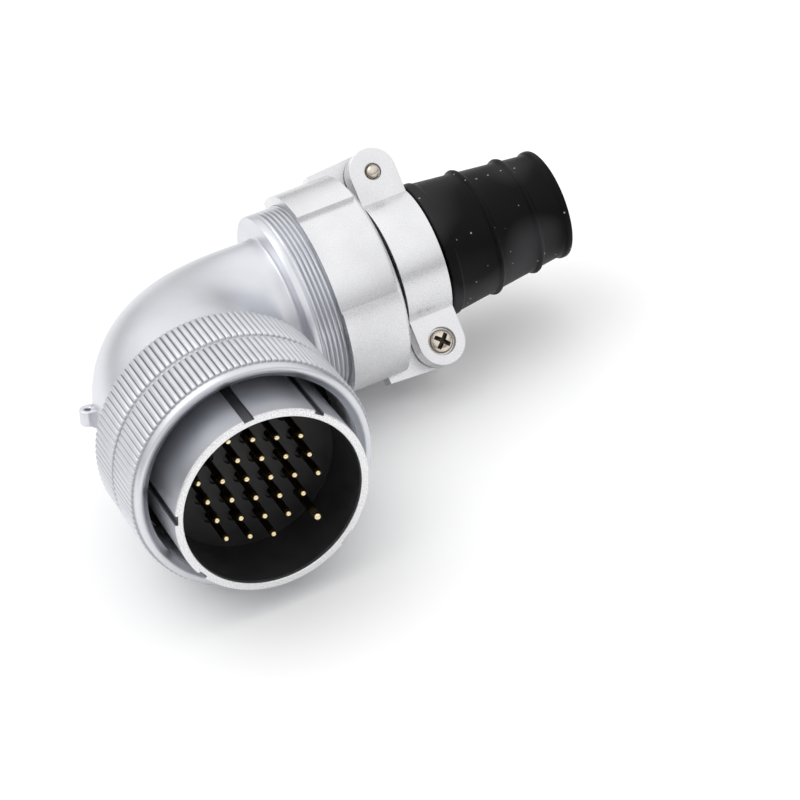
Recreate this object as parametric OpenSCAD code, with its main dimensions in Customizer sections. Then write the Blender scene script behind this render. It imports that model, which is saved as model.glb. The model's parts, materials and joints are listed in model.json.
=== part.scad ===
// Right-angle circular cable plug with a threaded coupling ring, a moulded pin insert,
// a cast elbow, and a screw-on sleeve with a two-saddle cable clamp over a rubber boot.
// Origin: centre of the barrel's mouth. The mating end faces -Y, the cable leaves along +X.

/* [Plug barrel] */
// Outer radius of the barrel that enters the receptacle
barrel_r = 21.2; // [21:0.1:21.4]
// Radius of the opening inside the barrel's front lip
mouth_r = 19.45; // [19:0.05:19.5]
// Depth from the barrel's lip to the insert's face
mouth_depth = 14.75; // [14:0.25:16]
// Width of the narrow keyways along the barrel
keyway_w = 2.2; // [1.5:0.1:3]
// Depth of the keyways
keyway_depth = 0.7; // [0.4:0.1:0.8]
// Turn of the earth contact and the wide keyway, from +X towards the table
polar_turn = 50; // [0:5:90]

/* [Contacts] */
// Distance between neighbouring contacts
contact_pitch = 5.33; // [5:0.01:5.4]
// Radius of a signal pin
pin_r = 0.75; // [0.7:0.05:0.8]
// Height of a signal pin above the insert's face
pin_stand = 9.55; // [8:0.05:10]
// Radius of the earth pin
earth_pin_r = 1.0; // [0.9:0.05:1.1]
// Height of the earth pin above the insert's face
earth_pin_stand = 11.35; // [10:0.05:12]
// Distance of the earth pin from the plug's axis
earth_pin_out = 14.6; // [14.4:0.1:15]

/* [Coupling ring] */
// Radius over the knurl
ring_r = 26.8; // [26.5:0.1:27.5]
// Distance of the ring's front edge behind the barrel's lip
ring_front = 9.25; // [9:0.25:9.5]
// Length of the ring
ring_len = 24.5; // [24.25:0.25:24.5]
// Major radius of the coupling thread
coupling_thread_r = 24; // [23.8:0.05:24.1]
// Number of flutes round the knurl
flutes = 120; // [90:10:140]

/* [Elbow] */
// Distance from the barrel's lip to the cable axis
elbow_back = 65; // [63:0.05:66]
// Radius of the bend's centre line
bend_r = 25; // [24:0.5:26]
// Radius of the elbow at the coupling ring
elbow_base_r = 22.5; // [22.3:0.1:23]
// Radius of the outlet tube
outlet_r = 16.9; // [16.5:0.1:18]
// Major radius of the outlet thread
outlet_thread_r = 22; // [21.9:0.05:22.1]
// Pitch of the outlet thread
outlet_thread_pitch = 1.05; // [1:0.05:1.1]

/* [Cable clamp] */
// Distance from the plug's axis to the sleeve's open end
sleeve_start = 35.9; // [35.5:0.1:37]
// Distance from the plug's axis to the saddles' centre line
saddle_at = 58.8; // [58.7:0.1:59.5]
// Width of a saddle along the cable
saddle_w = 11; // [10:0.5:11]
// Distance of the clamp screws from the cable axis
screw_out = 20.6; // [20.5:0.1:22]
// Tilt of the clamp screws, upwards from the mating direction
clamp_tilt = 36.3; // [0:0.1:90]
// Radius of the clamp screws
screw_r = 1.5; // [1.4:0.05:1.5]

/* [Cable boot] */
// Distance from the plug's axis to the boot's free end
boot_end = 97.2; // [95:0.1:105]
// Radius of the boot's groove under the saddles
groove_r = 14; // [13.8:0.1:14]
// Radius of the hole for the cable
cable_hole_r = 9.5; // [8:0.25:9.75]

/* [Hidden] */
$fn = 96;

// Clearances
eps = 0.05;          // overshoot of a cut
running = 0.08;      // radial gap where one piece turns on another
seat = 0.03;         // radial gap where a piece sits still in another

// Plug shell, measured back from the barrel's lip
insert_r = 19.9;                            // radius of the moulded insert
lip_depth = 0.8;                            // depth of the lip in front of the insert
flange_r = 23;                              // shoulder that the coupling ring pulls on
gasket_in = 20.95;                          // seat of the face gasket
gasket_seat_from = 22.9;
gasket_t = 1.5;
flange_from = 24.6;
flange_to = 27;
neck_r = 21.8;                              // bearing surface of the coupling ring
retainer_from = 31;                         // groove of the ring's retainer
retainer_t = 1.2;
retainer_in = 20.9;
neck_to = 33.2;
tail_r = 20.9;                              // tail that seats in the elbow
tail_to = 39.5;
insert_split = 20.5;                        // plane between the two insulators
insert_back = 27;
insert_ring_t = 1.2;
insert_ring_r = 20.7;
groove_side = 0.05;                         // side gap of both retaining rings

// Coupling ring
ring_back = ring_front + ring_len;
ring_bore_r = neck_r + running;
ring_web_t = 2.9;                           // web that bears on the flange
web_from = flange_to + 0.1;
pocket_r = flange_r + 0.9;                  // room for the flange and the gasket
rear_pocket_r = 24.2;
lip_r = 26;
knurl_from = ring_front + 1.7;
knurl_gap_at = 22.05;
knurl_gap = 0.9;
knurl_depth = 0.5;
knurl_back_edge = 0.75;

// Coupling thread, drawn as rings of its own profile
coupling_pitch = 1.5;
coupling_thread_depth = 0.7;
coupling_turns = 8;

// Elbow
socket_gap = 0.3;                           // gap between the ring's back edge and the elbow
elbow_from = ring_back + socket_gap;
elbow_step = tail_to + 1;                   // the gasket lies between tail and step
elbow_wall = 2.5;                           // wall of the casting
elbow_chamber_r = 18.6;                     // opening behind the gasket
outlet_bore_r = outlet_r - elbow_wall + 0.1; // just clear of the hollow's facets
bend_y = elbow_back - bend_r;               // where the bend begins
straight_len = bend_y - elbow_from;
bend_len = bend_r * PI / 2;
taper_from = 8;                             // path lengths between which the casting narrows
taper_to = 48;
loft_sides = 48;
loft_steps = 18;
collar_at = 28.3;
collar_w = 1.8;
outlet_end = 43.5;
outlet_thread_depth = 0.6;

// Lug for a lanyard
lug_turn = 190;
lug_at = 47.3;
lug_root = 20.2;                            // starts inside the casting's wall
lug_out = 23.3;
lug_w = 3.6;
lug_t = 3.6;
lug_gusset = 2;                             // extra depth below the lug at its root
lug_hole_r = 0.7;

// Clamp sleeve, measured along the cable axis
sleeve_bore_r = outlet_thread_r + running;
sleeve_r = 23.2;
pad_r = 24.2;
pad_turn = 18;
pads = 3;
pad_to = 49.6;
sleeve_end = 50.9;
sleeve_end_round = 1.6;
seat_r = 20.3;
seat_from = 44.9;
wall_from = 48.6;
wall_bore_r = 14.9;
arm_t = 5.2;                                // thickness of the two arms between the saddles
arm_root = 45.6;
arm_root_r = 25.2;
arm_root_in = 15.7;
ear_r = saddle_w / 2;

// Washer and boot
washer_from = outlet_end + 0.1;
washer_t = 1.2;
washer_r = 21.8;
boot_from = washer_from + washer_t + 0.1;
boot_flange_r = 20;
boot_neck_r = 14.6;
boot_taper_from = 15.6;
boot_taper_to = 12.3;
boot_lip_r = 16;
lip_at = 65.5;
lip_to = 67.9;
rib_at = [77.9, 88.7];
rib_w = 1.3;
rib_h = 0.8;
end_rim_w = 1.6;
boot_entry_r = 11.2;                        // hole at the flange, before it narrows
cable_hole_len = 22;

// Saddles and their screws, measured from the cable axis along the screws
ear_in = 3.2;
ear_out = 8.4;
arch_r = 16.3;
saddle_bore_r = groove_r + 0.15;
screw_head_r = 2.7;
screw_head_from = 6.9;
screw_head_t = 2.1;
head_well_r = 3.2;
screw_tip = 9.3;
screw_hole_r = screw_r + running;
tip_well_r = 1.9;
tip_well_depth = 0.8;
arm_hole_r = 1.75;
recess_w = 0.8;
recess_len = 3.6;
recess_depth = 1.2;

// Colours
zinc = [0.74, 0.75, 0.77];
bright_zinc = [0.8, 0.8, 0.81];
steel = [0.6, 0.6, 0.62];
nickel = [0.78, 0.74, 0.68];
gold = [0.86, 0.68, 0.3];
charcoal = [0.13, 0.13, 0.14];
rubber = [0.07, 0.07, 0.07];

// ---- Frames -------------------------------------------------------------------------------

// Local +Z runs backwards along the plug's axis from the barrel's lip
module plug_axis() { rotate([-90, 0, 0]) children(); }

// Local +Z runs outwards along the cable axis
module cable_axis() { translate([0, elbow_back, 0]) rotate([0, 90, 0]) children(); }

// As the cable axis, with local X along the clamp screws and local Y towards the lower ear
module clamp_axis() { cable_axis() rotate([0, 0, 270 - clamp_tilt]) children(); }

// Local Y points at the earth contact
module polar_axis() { plug_axis() rotate([0, 0, polar_turn - 90]) children(); }

// A ring between two planes of the local Z axis
module ring(r_out, r_in, from, to) {
    translate([0, 0, from])
        difference() {
            cylinder(r = r_out, h = to - from);
            translate([0, 0, -eps]) cylinder(r = r_in, h = to - from + 2 * eps);
        }
}

// A plain bore cut
module bore(r, from, to) { translate([0, 0, from]) cylinder(r = r, h = to - from); }

// Outline of a threaded length: [radius, distance] points along one flank after the other
function thread_points(r, depth, pitch, from, turns) = [
    for (i = [0 : turns - 1], p = [[-depth, 0], [-depth, 0.1], [0, 0.45], [0, 0.65]])
        [r + p[0], from + (i + p[1]) * pitch],
    [r - depth, from + turns * pitch]
];

// ---- Plug shell and insert ----------------------------------------------------------------

keyway_turns = [100, -100, 143, -143];

module keyways() {
    length = gasket_seat_from - 1.5;
    depth_r = barrel_r - keyway_depth;
    for (a = keyway_turns)
        rotate([0, 0, 90 + a])
            translate([depth_r, -keyway_w / 2, -eps]) cube([2, keyway_w, length]);
    rotate([0, 0, 90])
        translate([depth_r, -keyway_w * 0.8, -eps]) cube([2, keyway_w * 1.6, length]);
}

module plug_shell() {
    color(zinc)
        difference() {
            plug_axis()
                rotate_extrude()
                    polygon([
                        [mouth_r, 0.15], [mouth_r + 0.15, 0], [barrel_r - 0.3, 0], [barrel_r, 0.3],
                        [barrel_r, gasket_seat_from], [gasket_in, gasket_seat_from],
                        [gasket_in, flange_from], [flange_r, flange_from], [flange_r, flange_to],
                        [neck_r, flange_to], [neck_r, retainer_from - groove_side],
                        [retainer_in, retainer_from - groove_side],
                        [retainer_in, retainer_from + retainer_t + groove_side],
                        [neck_r, retainer_from + retainer_t + groove_side], [neck_r, neck_to],
                        [tail_r, neck_to], [tail_r, tail_to], [insert_r + seat, tail_to],
                        [insert_r + seat, insert_back + insert_ring_t + groove_side],
                        [insert_ring_r, insert_back + insert_ring_t + groove_side],
                        [insert_ring_r, insert_back], [insert_r + seat, insert_back],
                        [insert_r + seat, lip_depth], [mouth_r, lip_depth]
                    ]);
            polar_axis() keyways();
        }
}

// Contact rows, counted from the middle row towards the earth contact: [row, places]
contact_rows = [[2, 4], [1, 5], [0, 6], [-1, 5], [-2, 4]];
row_step = contact_pitch * sqrt(3) / 2;
contacts = [
    for (row = contact_rows, i = [0 : row[1] - 1])
        [(i - (row[1] - 1) / 2) * contact_pitch, row[0] * row_step],
    [-contact_pitch, -3 * row_step],
    [contact_pitch, -3 * row_step]
];

module at_contacts() { polar_axis() for (p = contacts) translate([p[0], p[1], 0]) children(); }

module at_earth() { polar_axis() translate([0, earth_pin_out, 0]) children(); }

// Holes in an insulator for one contact
module contact_hole(r, from, to) { bore(r + seat, from - eps, to + eps); }

face_well_r = 1.5;
face_well_depth = 0.8;
collar_r = pin_r + 0.4;
earth_collar_r = earth_pin_r + 0.5;
collar_t = 1.1;

module insulator_front() {
    color(charcoal)
        difference() {
            plug_axis()
                rotate_extrude()
                    polygon([
                        [0, mouth_depth], [mouth_r - 0.15, mouth_depth],
                        [mouth_r - 0.15, lip_depth], [insert_r, lip_depth],
                        [insert_r, insert_split], [0, insert_split]
                    ]);
            at_contacts() contact_hole(pin_r, mouth_depth, insert_split);
            at_contacts() bore(face_well_r, mouth_depth - eps, mouth_depth + face_well_depth);
            at_earth() contact_hole(earth_pin_r, mouth_depth, insert_split);
        }
}

module insulator_rear() {
    color(charcoal)
        difference() {
            plug_axis() bore(insert_r, insert_split, insert_back);
            at_contacts() contact_hole(pin_r, insert_split, insert_back);
            at_contacts() bore(collar_r + seat, insert_split - eps, insert_split + collar_t + seat);
            at_earth() contact_hole(earth_pin_r, insert_split, insert_back);
            at_earth()
                bore(earth_collar_r + seat, insert_split - eps, insert_split + collar_t + seat);
        }
}

// One turned contact with a round tip, a collar held between the insulators and a solder cup
module contact(r, stand, collar) {
    cup_from = insert_back + 0.4;
    cup_len = 4.6;
    difference() {
        union() {
            translate([0, 0, mouth_depth - stand + r]) sphere(r = r, $fn = 32);
            bore(r, mouth_depth - stand + r, cup_from);
            bore(collar, insert_split, insert_split + collar_t);
            bore(r + 0.25, cup_from, cup_from + cup_len);
        }
        bore(r - 0.1, cup_from + 0.8, cup_from + cup_len + eps);
        translate([0, -r - 1, cup_from + 1.6]) cube([2 * r + 2, 2 * r + 2, cup_len]);
    }
}

module signal_pins() { color(gold) at_contacts() contact(pin_r, pin_stand, collar_r); }

module earth_pin() { color(gold) at_earth() contact(earth_pin_r, earth_pin_stand, earth_collar_r); }

// An open spring ring
module spring_ring(r_out, r_in, from, thickness, gap) {
    difference() {
        ring(r_out, r_in, from, from + thickness);
        translate([0, -gap / 2, from - eps]) cube([r_out + 1, gap, thickness + 2 * eps]);
    }
}

module insert_retainer() {
    color(steel)
        plug_axis() spring_ring(insert_ring_r - seat, 18.4, insert_back, insert_ring_t, 5);
}

module face_gasket() {
    color(rubber)
        plug_axis() ring(flange_r, gasket_in + seat, flange_from - gasket_t, flange_from);
}

// ---- Coupling ring ------------------------------------------------------------------------

// One knurled band: each flute has a narrow valley and a rounded crest
module knurl_band(from, to) {
    step = 360 / flutes;
    valley = ring_r - knurl_depth;
    shape = [[valley, 0], [ring_r - 0.08, 0.27], [ring_r, 0.5], [ring_r - 0.08, 0.73]];
    points = [
        for (i = [0 : flutes - 1], p = shape)
            p[0] * [cos((i + p[1]) * step), sin((i + p[1]) * step)]
    ];
    translate([0, 0, from]) linear_extrude(to - from) polygon(points);
}

module coupling_ring() {
    core_r = ring_r - knurl_depth - 0.15;
    thread_from = ring_front + 1.2;
    thread_to = thread_from + coupling_turns * coupling_pitch;
    web_to = web_from + ring_web_t;
    color(zinc)
        plug_axis()
            difference() {
                union() {
                    rotate_extrude()
                        polygon([
                            [10, ring_front], [lip_r - 0.4, ring_front],
                            [lip_r, ring_front + 0.4], [core_r, knurl_from],
                            [core_r, ring_back - knurl_back_edge], [core_r - 0.7, ring_back],
                            [10, ring_back]
                        ]);
                    knurl_band(knurl_from, knurl_gap_at - knurl_gap / 2);
                    knurl_band(knurl_gap_at + knurl_gap / 2, ring_back - knurl_back_edge);
                }
                rotate_extrude()
                    polygon(concat(
                        [[0, ring_front - eps], [coupling_thread_r + 0.45, ring_front - eps]],
                        thread_points(coupling_thread_r, coupling_thread_depth, coupling_pitch,
                            thread_from, coupling_turns),
                        [
                            [pocket_r, thread_to + 0.4], [pocket_r, web_from],
                            [ring_bore_r, web_from], [ring_bore_r, web_to],
                            [rear_pocket_r, web_to], [rear_pocket_r, ring_back + eps],
                            [0, ring_back + eps]
                        ]
                    ));
            }
}

module thrust_washer() {
    from = web_from + ring_web_t + 0.05;
    color(steel)
        plug_axis()
            ring(rear_pocket_r - 0.4, neck_r + seat, from, retainer_from - groove_side);
}

module ring_retainer() {
    color(steel)
        plug_axis()
            spring_ring(rear_pocket_r - 0.5, retainer_in + seat, retainer_from, retainer_t, 6);
}

// ---- Elbow --------------------------------------------------------------------------------

// Smooth step from 0 to 1
function smooth(k) = let (t = min(max(k, 0), 1)) t * t * (3 - 2 * t);

// Radius of the casting at a path length from its base
function elbow_r(s) =
    elbow_base_r - (elbow_base_r - outlet_r) * smooth((s - taper_from) / (taper_to - taper_from));

// Centre and turn of the section at a path length: [x, y, angle]
function elbow_section(s) =
    s < straight_len ? [0, elbow_from + s, 0]
    : s > straight_len + bend_len ? [bend_r + s - straight_len - bend_len, elbow_back, 90]
    : let (a = (s - straight_len) / bend_r * 180 / PI)
        [bend_r * (1 - cos(a)), bend_y + bend_r * sin(a), a];

elbow_path_len = straight_len + bend_len + collar_at - bend_r;

// Solid swept round the bend with a changing radius, inset by a wall, between two path lengths
module elbow_loft(inset, from, to) {
    stations = concat(
        [from],
        [
            for (i = [0 : loft_steps])
                let (s = straight_len + bend_len * i / loft_steps)
                if (s > from + 0.1) s
        ],
        [to]
    );
    rings = [
        for (s = stations)
            let (c = elbow_section(s), r = elbow_r(s) - inset)
            [
                for (i = [0 : loft_sides - 1])
                    let (a = i * 360 / loft_sides)
                    [c[0] + r * cos(a) * cos(c[2]), c[1] - r * cos(a) * sin(c[2]), r * sin(a)]
            ]
    ];
    count = len(stations);
    sides = [
        for (k = [0 : count - 2], i = [0 : loft_sides - 1])
            let (j = (i + 1) % loft_sides, a = k * loft_sides, b = a + loft_sides)
            each [[a + i, a + j, b + j], [a + i, b + j, b + i]]
    ];
    caps = [
        [for (i = [loft_sides - 1 : -1 : 0]) i],
        [for (i = [0 : loft_sides - 1]) (count - 1) * loft_sides + i]
    ];
    polyhedron([for (r = rings) each r], concat(sides, caps), convexity = 6);
}

// Post beside the base, drilled crosswise
module lanyard_lug() {
    plug_axis() rotate([0, 0, lug_turn]) translate([0, 0, lug_at])
        difference() {
            intersection() {
                rotate([90, 0, 0])
                    translate([0, 0, -lug_t])
                        linear_extrude(3 * lug_t)
                            union() {
                                translate([lug_root, -lug_w / 2]) square([lug_out - lug_root, lug_w]);
                                translate([lug_out, 0]) circle(r = lug_w / 2);
                            }
                translate([0, 0, -lug_w])
                    linear_extrude(2 * lug_w)
                        polygon([
                            [lug_root, lug_t / 2], [lug_out + lug_w, lug_t / 2],
                            [lug_out + lug_w, -lug_t / 2], [lug_out, -lug_t / 2],
                            [lug_root, -lug_t / 2 - lug_gusset]
                        ]);
            }
            translate([lug_out, lug_t, 0])
                rotate([90, 0, 0]) cylinder(r = lug_hole_r, h = 2 * lug_t);
        }
}

module elbow_housing() {
    thread_from = collar_at + collar_w;
    turns = floor((outlet_end - thread_from - 0.4) / outlet_thread_pitch);
    color(zinc)
        difference() {
            union() {
                elbow_loft(0, 0, elbow_path_len + 0.5);
                lanyard_lug();
                cable_axis()
                    rotate_extrude()
                        polygon(concat(
                            [
                                [outlet_bore_r - 2, collar_at], [outlet_thread_r - 0.3, collar_at],
                                [outlet_thread_r, collar_at + 0.3],
                                [outlet_thread_r, thread_from - 0.15]
                            ],
                            thread_points(outlet_thread_r, outlet_thread_depth,
                                outlet_thread_pitch, thread_from, turns),
                            [
                                [outlet_thread_r - outlet_thread_depth, outlet_end],
                                [outlet_bore_r - 2, outlet_end]
                            ]
                        ));
            }
            plug_axis() bore(tail_r + seat, elbow_from - 1, elbow_step);
            plug_axis() bore(elbow_chamber_r, elbow_step - eps, elbow_step + 3);
            elbow_loft(elbow_wall, elbow_step + 1 - elbow_from, elbow_path_len);
            cable_axis() bore(outlet_bore_r, collar_at - 0.2, outlet_end + 1);
        }
}

module elbow_gasket() {
    color(rubber) plug_axis() ring(tail_r, elbow_chamber_r, tail_to, elbow_step);
}

// ---- Washer, boot and sleeve --------------------------------------------------------------

module gland_washer() {
    color(steel) cable_axis() ring(washer_r, outlet_bore_r, washer_from, washer_from + washer_t);
}

// Radius of the boot's tapered surface at a distance along the cable axis
function boot_r(s) =
    boot_taper_from + (boot_taper_to - boot_taper_from) * (s - lip_to) / (boot_end - lip_to);

module cable_boot() {
    ribs = [
        for (s = rib_at)
            each [
                [boot_r(s), s - rib_w / 2], [boot_r(s) + rib_h, s - rib_w / 4],
                [boot_r(s) + rib_h, s + rib_w / 4], [boot_r(s), s + rib_w / 2]
            ]
    ];
    color(rubber)
        cable_axis()
            rotate_extrude()
                polygon(concat(
                    [
                        [boot_entry_r, boot_from], [boot_flange_r, boot_from],
                        [boot_flange_r, wall_from], [boot_neck_r, wall_from],
                        [boot_neck_r, sleeve_end + 0.1], [groove_r, sleeve_end + 0.5],
                        [groove_r, lip_at - 0.6], [boot_lip_r, lip_at],
                        [boot_lip_r, lip_to - 0.3], [boot_taper_from, lip_to]
                    ],
                    ribs,
                    [
                        [boot_r(boot_end), boot_end - end_rim_w],
                        [boot_r(boot_end) + rib_h, boot_end - end_rim_w + 0.4],
                        [boot_r(boot_end) + rib_h, boot_end - 0.4],
                        [boot_r(boot_end) + rib_h - 0.4, boot_end],
                        [cable_hole_r, boot_end], [cable_hole_r, boot_end - cable_hole_len]
                    ]
                ));
}

// One arm that carries a clamp screw, in the plane of the ears
module arm() {
    rotate([0, 90, 0])
        translate([0, 0, -arm_t / 2])
            linear_extrude(arm_t)
                union() {
                    translate([-saddle_at, screw_out]) circle(r = ear_r);
                    polygon([
                        [-arm_root, arm_root_in], [-saddle_at, screw_out - ear_r],
                        [-saddle_at, screw_out + ear_r], [-arm_root, arm_root_r]
                    ]);
                }
}

module clamp_sleeve() {
    color(bright_zinc)
        clamp_axis()
            difference() {
                union() {
                    difference() {
                        union() {
                            rotate_extrude()
                                polygon([
                                    [0, sleeve_start], [sleeve_r, sleeve_start],
                                    [sleeve_r, sleeve_end - sleeve_end_round],
                                    for (a = [30, 60, 90])
                                        [sleeve_r - sleeve_end_round * (1 - cos(a)),
                                            sleeve_end - sleeve_end_round * (1 - sin(a))],
                                    [0, sleeve_end]
                                ]);
                            for (i = [0 : pads - 1])
                                rotate([0, 0, pad_turn + i * 360 / pads])
                                    rotate_extrude(angle = 180 / pads)
                                        translate([sleeve_bore_r, sleeve_start])
                                            square([pad_r - sleeve_bore_r, pad_to - sleeve_start]);
                        }
                        bore(sleeve_bore_r, sleeve_start - eps, seat_from);
                        bore(seat_r, seat_from - eps, wall_from);
                        bore(wall_bore_r, wall_from - eps, sleeve_end + eps);
                    }
                    difference() {
                        union() {
                            arm();
                            mirror([0, 1, 0]) arm();
                        }
                        bore(pad_r - 2, sleeve_start, wall_from);
                    }
                }
                for (side = [-1, 1])
                    translate([-arm_t, side * screw_out, saddle_at])
                        rotate([0, 90, 0]) cylinder(r = arm_hole_r, h = 2 * arm_t);
            }
}

// ---- Saddles and screws -------------------------------------------------------------------

// A saddle on the +X side; the head of its screw sits in the ear at +Y
module saddle() {
    reach = screw_out + ear_r + 1;
    difference() {
        translate([0, 0, saddle_at - saddle_w / 2])
            linear_extrude(saddle_w)
                difference() {
                    union() {
                        translate([ear_in, -reach]) square([ear_out - ear_in, 2 * reach]);
                        intersection() {
                            circle(r = arch_r);
                            translate([ear_in, -arch_r]) square([arch_r, 2 * arch_r]);
                        }
                    }
                    circle(r = saddle_bore_r);
                }
        for (side = [-1, 1])
            translate([ear_in - eps, side * screw_out, saddle_at])
                rotate([0, 90, 0])
                    difference() {
                        translate([-saddle_w, side > 0 ? 0 : -2 * ear_r, 0])
                            cube([2 * saddle_w, 2 * ear_r, ear_out]);
                        translate([0, 0, -1]) cylinder(r = ear_r, h = ear_out + 2);
                    }
        translate([0, screw_out, saddle_at])
            rotate([0, 90, 0]) {
                cylinder(r = screw_hole_r, h = ear_out + 1);
                translate([0, 0, screw_head_from]) cylinder(r = head_well_r, h = ear_out);
            }
        translate([0, -screw_out, saddle_at])
            rotate([0, 90, 0]) {
                cylinder(r = screw_hole_r, h = ear_out + 1);
                translate([0, 0, ear_out - tip_well_depth]) cylinder(r = tip_well_r, h = 2);
            }
    }
}

// A pan-head screw through the +Y ears, head on the +X side
module clamp_screw() {
    translate([0, screw_out, saddle_at])
        rotate([0, 90, 0])
            difference() {
                union() {
                    translate([0, 0, -screw_tip + 0.6])
                        cylinder(r = screw_r, h = screw_tip - 0.6 + screw_head_from);
                    translate([0, 0, -screw_tip]) cylinder(r1 = 0.9, r2 = screw_r, h = 0.6);
                    translate([0, 0, screw_head_from])
                        rotate_extrude()
                            polygon([
                                [0, 0], [screw_head_r, 0], [screw_head_r, 1.1],
                                [screw_head_r - 0.35, 1.7], [screw_head_r - 1, screw_head_t - 0.05],
                                [0, screw_head_t]
                            ]);
                }
                for (a = [45, 135])
                    rotate([0, 0, a])
                        translate([-recess_len / 2, -recess_w / 2,
                                screw_head_from + screw_head_t - recess_depth])
                            cube([recess_len, recess_w, recess_depth + 1]);
            }
}

module saddle_front() { color(bright_zinc) clamp_axis() saddle(); }

module saddle_rear() { color(bright_zinc) clamp_axis() rotate([0, 0, 180]) saddle(); }

module clamp_screw_front() { color(nickel) clamp_axis() clamp_screw(); }

module clamp_screw_rear() { color(nickel) clamp_axis() rotate([0, 0, 180]) clamp_screw(); }

// ---- Output -------------------------------------------------------------------------------

plug_shell();
coupling_ring();
thrust_washer();
ring_retainer();
face_gasket();
insulator_front();
insulator_rear();
signal_pins();
earth_pin();
insert_retainer();
elbow_gasket();
elbow_housing();
gland_washer();
cable_boot();
clamp_sleeve();
saddle_front();
saddle_rear();
clamp_screw_front();
clamp_screw_rear();
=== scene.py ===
import json
import math
import bpy
import bmesh
from mathutils import Matrix, Vector


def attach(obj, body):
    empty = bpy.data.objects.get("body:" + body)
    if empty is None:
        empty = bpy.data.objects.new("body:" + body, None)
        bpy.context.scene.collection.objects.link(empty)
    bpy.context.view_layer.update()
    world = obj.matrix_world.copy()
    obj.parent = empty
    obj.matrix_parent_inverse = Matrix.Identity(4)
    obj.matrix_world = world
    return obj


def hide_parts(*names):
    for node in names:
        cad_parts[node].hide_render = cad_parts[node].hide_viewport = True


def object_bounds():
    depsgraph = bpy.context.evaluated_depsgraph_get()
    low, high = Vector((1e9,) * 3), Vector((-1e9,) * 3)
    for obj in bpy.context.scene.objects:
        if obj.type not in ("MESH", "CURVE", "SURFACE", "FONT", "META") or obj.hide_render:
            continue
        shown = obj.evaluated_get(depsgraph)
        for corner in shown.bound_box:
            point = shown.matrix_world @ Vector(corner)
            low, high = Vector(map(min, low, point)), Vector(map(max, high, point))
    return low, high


mm = 0.001
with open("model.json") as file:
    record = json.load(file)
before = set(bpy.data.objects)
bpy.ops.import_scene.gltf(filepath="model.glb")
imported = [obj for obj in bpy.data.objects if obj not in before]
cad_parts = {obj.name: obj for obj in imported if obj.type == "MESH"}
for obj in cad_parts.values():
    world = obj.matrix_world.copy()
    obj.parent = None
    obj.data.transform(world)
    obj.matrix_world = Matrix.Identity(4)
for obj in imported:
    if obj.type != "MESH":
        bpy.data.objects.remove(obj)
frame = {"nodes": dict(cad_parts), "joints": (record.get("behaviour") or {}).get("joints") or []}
cadLow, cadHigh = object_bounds()
joints = {joint["name"]: joint for joint in frame["joints"]}
print("frame loaded:", len(frame["nodes"]), "nodes")

cableBack = joints["sleeve_turn"]["pos_m"][1]          # the cable axis runs along X at this Y
screwAxis = Vector(joints["screw_front_turn"]["axis"])  # out of the front screw's head
earAxis = Vector((1, 0, 0)).cross(screwAxis)            # towards the lower ear


def toLinear(hexColour):
    channels = [int(hexColour[i:i + 2], 16) / 255 for i in (1, 3, 5)]
    linear = [c / 12.92 if c <= 0.04045 else ((c + 0.055) / 1.055) ** 2.4 for c in channels]
    return (*linear, 1)


def grey(value):
    return (value, value, value, 1)


def perMetre(size):
    # a pattern's scale, from the size in millimetres of what it draws
    return 1 / (size * mm)


def addNode(tree, kind, settings=None, links=None):
    # stops: a colour ramp's places and colours
    node = tree.nodes.new(kind)
    for key, value in (settings or {}).items():
        if key == "stops":
            elements = node.color_ramp.elements
            while len(elements) < len(value):
                elements.new(0.5)
            for element, stop in zip(elements, value):
                element.position, element.color = stop
        elif isinstance(key, str) and hasattr(node, key):
            setattr(node, key, value)
        else:
            node.inputs[key].default_value = value
    for socket, source in (links or {}).items():
        tree.links.new(source, node.inputs[socket])
    return node


def newMaterial(name, settings):
    material = bpy.data.materials.new(name)
    material.use_nodes = True
    tree = material.node_tree
    shader = tree.nodes["Principled BSDF"]
    for key, value in settings.items():
        shader.inputs[key].default_value = value
    return material, tree, shader


def connect(tree, shader, sources):
    for socket, source in sources.items():
        tree.links.new(source, shader.inputs[socket])


# relief: strength of the grain's bump; grain: its size in millimetres
platedZinc = {"colour": "#DBDCE1", "shade": "#D0D2D7", "roughness": (0.30, 0.40),
              "cloud": 16.7, "grain": 0.35, "relief": 0.12}
# the same plating, darkened for the barrel inside the ring: painted shade
shadedShellZinc = {"colour": "#B4B6BB", "shade": "#A7A9AF", "roughness": (0.30, 0.40),
             "cloud": 16.7, "grain": 0.35, "relief": 0.12}
brightZinc = {"colour": "#E2E2E4", "shade": "#D6D6D8", "roughness": (0.22, 0.36),
              "cloud": 16.7, "grain": 0.22, "relief": 0.7}

# painted shade in the grooves: radii of their bottom and crest from the plug's or the cable's
# axis, how dark the bottom is painted, and the X at which the grooves start, in millimetres
knurlGrooveShade = {"axis": "plug", "bottom": 26.3, "top": 26.7, "dark": 0.55, "start": -90}
keywayGrooveShade = {"axis": "plug", "bottom": 20.5, "top": 20.95, "dark": 0.2, "start": -90}
threadGrooveShade = {"axis": "cable", "bottom": 21.35, "top": 21.85, "dark": 0.85, "start": 29.4}

# the lip's painted highlight, with real scratches, ends between these distances behind the mouth
lipHighlight = {"from": 0.1, "to": 0.45, "scratch": 0.286, "dull": "#D4D4D6", "bright": "#F2F2F2"}


def axisDistance(tree, coords, axis):
    # distance in metres from the plug's axis or from the cable's
    offset = (0, -cableBack, 0) if axis == "cable" else (0, 0, 0)
    keep = (0, 1, 1) if axis == "cable" else (1, 0, 1)
    moved = addNode(tree, "ShaderNodeVectorMath", {"operation": "ADD", 1: offset}, {0: coords})
    flat = addNode(tree, "ShaderNodeVectorMath", {"operation": "MULTIPLY", 1: keep},
                   {0: moved.outputs[0]})
    return addNode(tree, "ShaderNodeVectorMath", {"operation": "LENGTH"},
                   {0: flat.outputs[0]}).outputs["Value"]


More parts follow.
